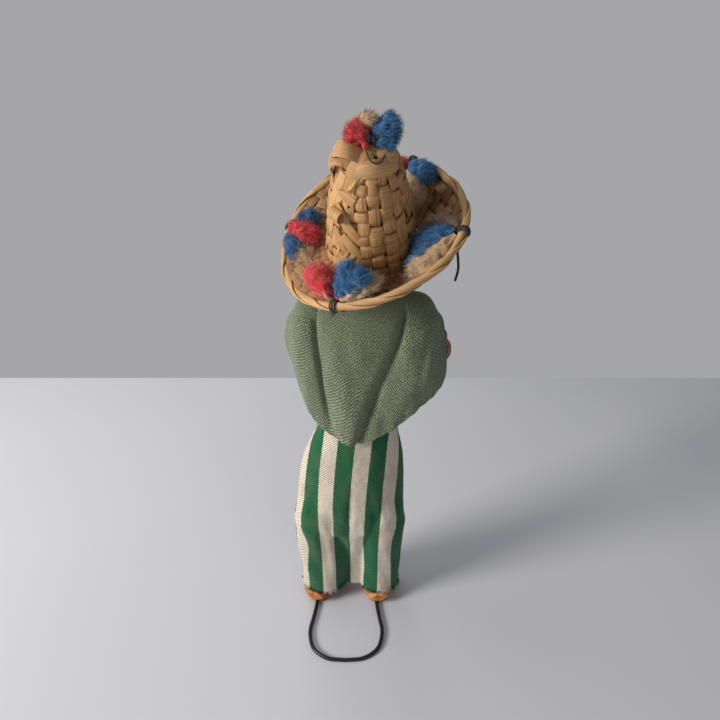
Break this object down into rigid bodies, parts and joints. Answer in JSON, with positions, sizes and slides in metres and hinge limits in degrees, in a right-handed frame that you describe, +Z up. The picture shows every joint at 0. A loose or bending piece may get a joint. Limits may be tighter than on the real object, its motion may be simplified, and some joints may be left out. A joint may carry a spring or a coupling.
{
  "type": "cloth doll",
  "caption": "Stuffed cloth doll in a woven palm hat with wool tufts, a green poncho, striped trousers and leather shoes, standing on a bent wire loop.",
  "frame": {"origin": "bottom centre of the doll's bounding box, on the surface that it stands on", "axes": "+Z up through the doll, +Y the way that it faces, +X towards its right-hand side"},
  "size_m": [0.1002, 0.1132, 0.3266],
  "materials": {
    "black_wire": "black lacquered soft iron wire, satin",
    "grey_wire": "bare soft iron wire",
    "calico": "unbleached calico over stuffing",
    "skin_cloth": "smooth tan cotton, matt",
    "black_yarn": "black spun yarn",
    "black_thread": "black twisted cotton thread",
    "striped_twill": "coarse cotton twill, green and cream stripes",
    "green_cloth": "open plain-woven sage green cotton, matt",
    "red_brown_cloth": "red-brown cotton, matt",
    "tan_leather": "tan leather, worn at the edges",
    "sole_leather": "darker plain leather",
    "palm": "dried palm leaf strips, satin, fine grain along each strip",
    "red_wool": "combed wool, not spun",
    "blue_wool": "combed wool, not spun",
    "cream_wool": "combed wool, not spun",
    "brown_wool": "combed wool, not spun"
  },
  "bodies": {
    "root": {"stand_wire": "black_wire", "trousers": "striped_twill", "left_leg": "calico", "left_shoe_upper": "tan_leather", "left_shoe_sole": "sole_leather", "right_leg": "calico", "right_shoe_upper": "tan_leather", "right_shoe_sole": "sole_leather", "spine_wire": "grey_wire", "torso": "calico", "shirt_body": "red_brown_cloth", "poncho": "green_cloth", "neck_wrap": "calico"},
    "head": {"head": "skin_cloth", "hair": "black_yarn"},
    "hat": {"palm_hat": "palm", "brim_binding": "palm", "crown_loop": "palm", "crown_curl": "palm", "back_tuft_tie": "black_thread", "back_tuft_red_lock": "red_wool", "back_tuft_cream_lock": "cream_wool", "back_tuft_blue_lock": "blue_wool", "right_tuft_tie": "black_thread", "right_tuft_cream_lock": "cream_wool", "right_tuft_blue_lock": "blue_wool", "right_tuft_brown_lock": "brown_wool", "front_tuft_tie": "black_thread", "front_tuft_blue_lock": "blue_wool", "front_tuft_cream_lock": "cream_wool", "front_tuft_red_lock": "red_wool", "left_tuft_tie": "black_thread", "left_tuft_red_lock": "red_wool", "left_tuft_cream_lock": "cream_wool", "left_tuft_blue_lock": "blue_wool", "crown_tie": "black_thread", "crown_red_lock": "red_wool", "crown_cream_lock": "cream_wool", "crown_blue_lock": "blue_wool"},
    "left_arm": {"left_arm_wire": "grey_wire", "left_arm": "calico", "left_sleeve": "red_brown_cloth", "left_hand": "skin_cloth"},
    "right_arm": {"right_arm_wire": "grey_wire", "right_arm": "calico", "right_sleeve": "red_brown_cloth", "right_hand": "skin_cloth"}
  },
  "joints": [
    {"name": "head_turn", "type": "hinge", "parent": "root", "child": "head", "pos_m": [0.00211, 0.00205, 0.24], "axis": [0, 0, 1], "range_deg": [-35, 35]},
    {"name": "hat_lift", "type": "slide", "parent": "head", "child": "hat", "axis": [-0.0449, -0.515, 0.856], "range_m": [0, 0.035]},
    {"name": "left_shoulder_swing", "type": "hinge", "parent": "root", "child": "left_arm", "pos_m": [-0.02939, 0.00205, 0.219], "axis": [1, 0, 0], "range_deg": [-20, 20], "deforming": ["poncho"]},
    {"name": "right_shoulder_swing", "type": "hinge", "parent": "root", "child": "right_arm", "pos_m": [0.02661, 0.00205, 0.219], "axis": [1, 0, 0], "range_deg": [-20, 20], "deforming": ["poncho"]}
  ]
}
